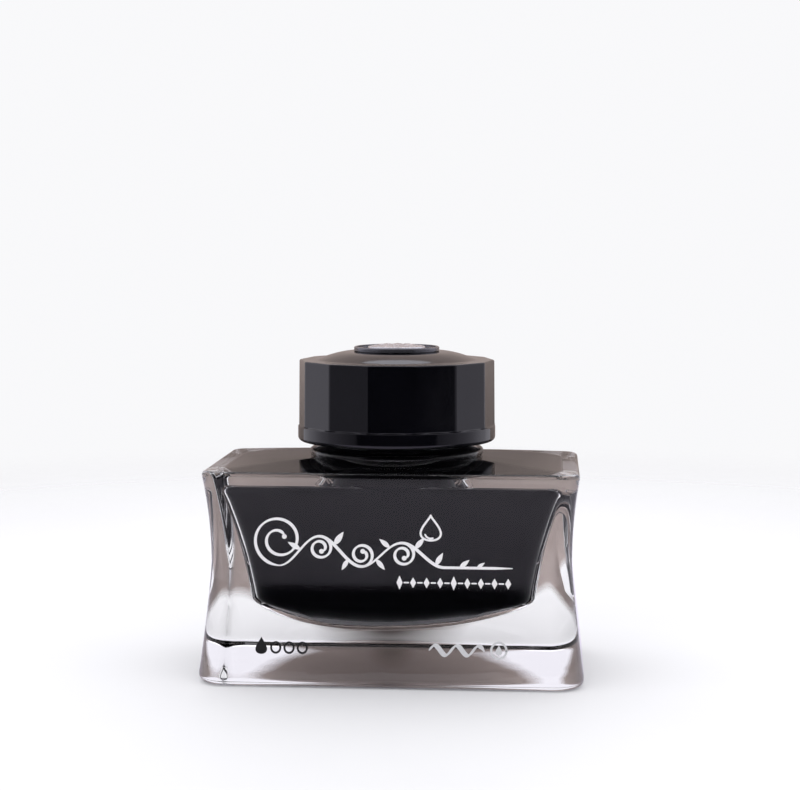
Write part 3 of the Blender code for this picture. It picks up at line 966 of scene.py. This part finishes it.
def glass_material():
    """Pressed clear glass: gently wavy, with a faint trace of handling on the surface."""
    made, tree, shader = new_material("pressed_clear_glass", (0.992, 0.987, 0.995), 0.0, ior=GLASS_INDEX)
    shader.inputs["Transmission Weight"].default_value = 1.0
    vary_roughness(tree, shader, add_noise(tree, 9, 0.0), 0.0, 0.006, 0.35, 0.75)
    add_bump(tree, shader, ((add_noise(tree, 75, 1.0), 0.00009), (add_noise(tree, 260, 1.0), 0.000005)))
    return made


def ink_material():
    """Black ink against glass: dark, but a full mirror past the critical angle from glass to ink."""
    made, tree, shader = new_material("black_ink_wet", (0.003, 0.003, 0.005), 0.02, ior=1.1)
    shader.inputs["Specular IOR Level"].default_value = 0.0
    position = tree.nodes.new("ShaderNodeSeparateXYZ")
    tree.links.new(place_coordinates(tree), position.inputs["Vector"])
    against_glass, in_air = INK_INDEX / GLASS_INDEX, INK_INDEX
    low, high = INK_LEVEL - 0.0004, INK_LEVEL - 0.0002
    index = spread(tree, position.outputs["Z"], against_glass, in_air, low, high)
    mirror = tree.nodes.new("ShaderNodeFresnel")
    tree.links.new(index, mirror.inputs["IOR"])
    tree.links.new(mirror.outputs["Fac"], shader.inputs["Metallic"])
    vary_colour(tree, shader, mirror.outputs["Fac"], (0.003, 0.003, 0.005), (0.97, 0.97, 0.98))
    vary_roughness(tree, shader, add_noise(tree, 90, 2.0), 0.01, 0.035)
    return made


def shell_material():
    """High-gloss black moulding: fine orange peel, slight sinks, faint dust-fine scratches."""
    made, tree, shader = new_material("gloss_black_moulding", (0.006, 0.006, 0.008), 0.06)
    shader.inputs["Specular Tint"].default_value = (0.92, 0.90, 1.0, 1.0)
    mottle = spread(tree, add_noise(tree, 60, 3.0), 0.0, 1.0)
    vary_colour(tree, shader, mottle, (0.0012, 0.0012, 0.002), (0.0026, 0.0026, 0.004))
    vary_roughness(tree, shader, add_noise(tree, 340, 5.0), 0.035, 0.11, 0.35, 0.75)
    layers = (
        (add_noise(tree, 110, 1.0), 0.00003),
        (add_noise(tree, 1500, 2.0), 0.0000042),
        (add_noise(tree, 900, 2.0, (1.0, 1.0, 0.05)), 0.0000015),
    )
    add_bump(tree, shader, layers)
    return made


def insert_material():
    made, tree, shader = new_material("black_thread_moulding", (0.014, 0.014, 0.016), 0.38)
    vary_roughness(tree, shader, add_noise(tree, 500, 5.0), 0.28, 0.5)
    mottle = spread(tree, add_noise(tree, 120, 3.0), 0.0, 1.0)
    vary_colour(tree, shader, mottle, (0.010, 0.010, 0.012), (0.022, 0.022, 0.025))
    add_bump(tree, shader, ((add_noise(tree, 1800, 3.0), 0.000012),))
    return made


def liner_material():
    made, tree, shader = new_material("white_cell_foam", (0.74, 0.73, 0.70), 0.85)
    cells = tree.nodes.new("ShaderNodeTexVoronoi")
    cells.inputs["Scale"].default_value = 3200
    tree.links.new(place_coordinates(tree), cells.inputs["Vector"])
    mottle = spread(tree, add_noise(tree, 150, 4.0), 0.0, 1.0)
    vary_colour(tree, shader, mottle, (0.66, 0.65, 0.62), (0.80, 0.79, 0.77))
    vary_roughness(tree, shader, add_noise(tree, 700, 3.0), 0.75, 0.95)
    add_bump(tree, shader, ((cells.outputs["Distance"], 0.00004),))
    return made


def bezel_material():
    """Dark enamelled ring, slightly uneven in tone."""
    made, tree, shader = new_material("dark_enamel_ring", (0.04, 0.042, 0.05), 0.22, 0.75)
    wear = spread(tree, add_noise(tree, 220, 2.0), 0.0, 1.0, 0.35, 0.75)
    vary_colour(tree, shader, wear, (0.145, 0.143, 0.165), (0.175, 0.172, 0.198))
    vary_roughness(tree, shader, add_noise(tree, 220, 2.0), 0.20, 0.28)
    add_bump(tree, shader, ((add_noise(tree, 2600, 2.0, (1.0, 1.0, 0.2)), 0.0000012),))
    return made


def emblem_material():
    made, tree, shader = new_material("satin_silver_relief", (0.78, 0.78, 0.80), 0.2, 1.0)
    tarnish = spread(tree, add_noise(tree, 700, 5.0), 0.0, 1.0, 0.35, 0.75)
    vary_colour(tree, shader, tarnish, (0.64, 0.66, 0.72), (0.92, 0.94, 1.0))
    vary_roughness(tree, shader, add_noise(tree, 1200, 4.0), 0.14, 0.36)
    add_bump(tree, shader, ((add_noise(tree, 3500, 3.0), 0.000012),))
    return made


def print_material(name, colour):
    """Fired-on print: slightly matt, with a fine screen grain."""
    made, tree, shader = new_material(name, colour, 0.4)
    darker = tuple(0.88 * part for part in colour)
    vary_colour(tree, shader, spread(tree, add_noise(tree, 2500, 4.0), 0.0, 1.0), darker, colour)
    vary_roughness(tree, shader, add_noise(tree, 1500, 3.0), 0.32, 0.55)
    add_bump(tree, shader, ((add_noise(tree, 5000, 2.0), 0.000006),))
    return made


# Stage


def floor_material():
    """A pale sheet that fades into the background.

    Gloss sees it with painted shade, a little darker and cooler. Seen through the glass, it has a painted
    shadow: a dark spot by the bottle's back, at the foot of the card.
    """
    made, tree, shader = new_material("pale_floor", (0.87, 0.87, 0.88), 0.6)
    path = tree.nodes.new("ShaderNodeLightPath")
    glossy, through = path.outputs["Is Glossy Ray"], path.outputs["Is Transmission Ray"]
    gloss = add_math(tree, "SUBTRACT", glossy, through)
    gloss.node.use_clamp = True
    # Painted shade: gloss rays see the floor darker and cooler than the camera does.
    tone = add_mix(tree, gloss, (0.87, 0.87, 0.885), (0.79, 0.74, 0.86))
    # Painted shadow: a dark spot at the card's foot behind the bottle, seen only through the glass.
    painted_card_shadow = spread(tree, distance_from(tree, (-0.003, -0.016, 0.0)), 1.0, 0.0, 0.004, 0.018)
    shaded = add_mix(tree, add_math(tree, "MULTIPLY", painted_card_shadow, through), tone, (0.06, 0.045, 0.04))
    mottled = tree.nodes.new("ShaderNodeVectorMath")
    mottled.operation = "SCALE"
    tree.links.new(shaded, mottled.inputs[0])
    tree.links.new(spread(tree, add_noise(tree, 9, 3.0), 0.96, 1.0), mottled.inputs["Scale"])
    tree.links.new(mottled.outputs["Vector"], shader.inputs["Base Color"])
    fade = spread(tree, distance_from(tree, (0.0, 0.0, 0.0)), 1.0, 0.0, 0.06, 0.38)
    fade.node.interpolation_type = "SMOOTHSTEP"
    tree.links.new(fade, shader.inputs["Alpha"])
    return made


def make_floor():
    form = bmesh.new()
    bmesh.ops.create_circle(form, cap_ends=True, segments=96, radius=FLOOR_RADIUS)
    floor = new_object("floor", form)
    floor.location = (0.0, 0.05, -0.0002)
    floor.data.materials.append(floor_material())


def card_material():
    """Warm grey in rings round a low point, darkest there, where the bottle shades it. Its edge fades out."""
    made, tree, shader = new_material("warm_card_paint", (0.5, 0.42, 0.4), 0.7)
    tones = tree.nodes.new("ShaderNodeValToRGB")
    away = spread(tree, distance_from(tree, (0.0, -0.050, 0.0)), 0.0, 1.0, 0.002, 0.075)
    tree.links.new(away, tones.inputs["Fac"])
    stops = tones.color_ramp.elements
    for position in (0.06, 0.5, 0.74):
        stops.new(position)
    colours = (
        (0.26, 0.205, 0.185),
        (0.47, 0.385, 0.355),
        (0.78, 0.65, 0.60),
        (0.42, 0.345, 0.315),
        (0.64, 0.53, 0.485),
    )
    for stop, colour in zip(stops, colours):
        stop.color = (*colour, 1.0)
    tree.links.new(tones.outputs["Color"], shader.inputs["Base Color"])
    reach = distance_from(tree, (0.0, 0.0, 0.0))
    fade = spread(tree, reach, 1.0, 0.0, CARD_RADIUS - CARD_EDGE, CARD_RADIUS)
    tree.links.new(fade, shader.inputs["Alpha"])
    return made


def make_card():
    """A round warm-grey card behind the bottle that only the glass and the gloss see."""
    form = bmesh.new()
    bmesh.ops.create_circle(form, cap_ends=True, segments=96, radius=CARD_RADIUS)
    card = new_object("warm_card", form)
    out = Vector((-math.sin(CAMERA_YAW), math.cos(CAMERA_YAW), 0.0))
    card.rotation_euler = (math.pi / 2, 0.0, CAMERA_YAW)
    card.location = out * CARD_DISTANCE + Vector((0.0, 0.0, CARD_HEIGHT))
    card.data.materials.append(card_material())
    card.visible_camera = False
    card.visible_diffuse = False
    card.visible_shadow = False


def add_light(name, position, target, size, energy):
    data = bpy.data.lights.new(name, "AREA")
    data.shape = "RECTANGLE"
    data.size, data.size_y = size
    data.energy = energy
    lamp = bpy.data.objects.new(name, data)
    lamp.location = position
    lamp.rotation_euler = (Vector(target) - Vector(position)).to_track_quat("-Z", "Y").to_euler()
    bpy.context.scene.collection.objects.link(lamp)
    return lamp


def make_world():
    """A white studio. Gloss and glass see its side behind the camera dark; the rest is even and pale."""
    world = bpy.data.worlds.new("studio")
    world.use_nodes = True
    tree = world.node_tree
    tree.nodes.clear()
    where = tree.nodes.new("ShaderNodeTexCoord")
    turn = tree.nodes.new("ShaderNodeVectorTransform")
    turn.vector_type = "VECTOR"
    turn.convert_from = "WORLD"
    turn.convert_to = "CAMERA"
    tree.links.new(where.outputs["Generated"], turn.inputs["Vector"])
    parts = tree.nodes.new("ShaderNodeSeparateXYZ")
    tree.links.new(turn.outputs["Vector"], parts.inputs["Vector"])
    profile = tree.nodes.new("ShaderNodeValToRGB")
    stops = profile.color_ramp.elements
    while len(stops) < len(STUDIO_PROFILE):
        stops.new(1.0)
    for stop, (depth, level) in zip(stops, STUDIO_PROFILE):
        stop.position = (depth + 1) / 2
        stop.color = (level, level, level, 1.0)
    tree.links.new(add_math(tree, "MULTIPLY_ADD", parts.outputs["Z"], 0.5, 0.5), profile.inputs["Fac"])
    path = tree.nodes.new("ShaderNodeLightPath")
    diffuse = path.outputs["Is Diffuse Ray"]
    plain = add_math(tree, "MAXIMUM", path.outputs["Is Camera Ray"], diffuse)
    lifted = add_math(tree, "MULTIPLY_ADD", diffuse, DIFFUSE_LIFT, 1.0)
    strength = tree.nodes.new("ShaderNodeMix")
    strength.data_type = "FLOAT"
    tree.links.new(plain, strength.inputs["Factor"])
    tree.links.new(profile.outputs["Color"], strength.inputs["A"])
    tree.links.new(lifted, strength.inputs["B"])
    background = tree.nodes.new("ShaderNodeBackground")
    tint = add_mix(tree, plain, (0.95, 0.935, 1.01), (0.945, 0.945, 0.96))
    tree.links.new(tint, background.inputs["Color"])
    tree.links.new(strength.outputs["Result"], background.inputs["Strength"])
    output = tree.nodes.new("ShaderNodeOutputWorld")
    tree.links.new(background.outputs["Background"], output.inputs["Surface"])
    bpy.context.scene.world = world


def make_camera():
    data = bpy.data.cameras.new("camera")
    data.lens = CAMERA_LENS
    data.sensor_width = 36.0
    data.clip_start, data.clip_end = 0.01, 20.0
    camera = bpy.data.objects.new("camera", data)
    side, back = CAMERA_SIDE, -CAMERA_DISTANCE
    turn_cos, turn_sin = math.cos(CAMERA_YAW), math.sin(CAMERA_YAW)
    camera.location = (side * turn_cos - back * turn_sin, side * turn_sin + back * turn_cos, CAMERA_HEIGHT)
    camera.rotation_euler = (math.pi / 2 - CAMERA_PITCH, 0.0, CAMERA_YAW)
    bpy.context.scene.collection.objects.link(camera)
    bpy.context.scene.camera = camera


def make_studio():
    make_floor()
    make_card()
    make_world()
    add_light("top_softbox", (0.0, 0.10, 0.75), (0.0, 0.0, 0.03), (0.7, 0.5), 0.35)
    back = add_light("back_softbox", (0.0, 0.62, 0.62), (0.0, 0.0, 0.06), (0.56, 0.48), 0.62)
    back.data.color = (0.98, 0.96, 1.0)
    back.visible_diffuse = False
    make_camera()
    bpy.context.scene.view_settings.view_transform = "Standard"


def dress(piece, node, body, finish):
    piece.data.materials.clear()
    piece.data.materials.append(finish)
    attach(piece, body)
    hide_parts(node)


def build():
    dress(make_glass(), "glass_bottle", "bottle", glass_material())
    dress(make_ink(), "ink", "bottle", ink_material())
    dress(make_shell(), "cap_shell", "cap", shell_material())
    dress(make_insert(), "cap_thread_insert", "cap", insert_material())
    dress(make_liner(), "seal_liner", "liner", liner_material())
    dress(make_bezel(), "medallion_bezel", "cap", bezel_material())
    dress(make_emblem(), "medallion_emblem", "cap", emblem_material())
    white = print_material("white_print", (0.78, 0.77, 0.79))
    make_white_print(white)
    make_white_border(white)
    make_black_print(print_material("black_print", (0.012, 0.011, 0.013)))
    make_grey_print(print_material("grey_print", (0.56, 0.56, 0.58)))
    make_studio()


build()
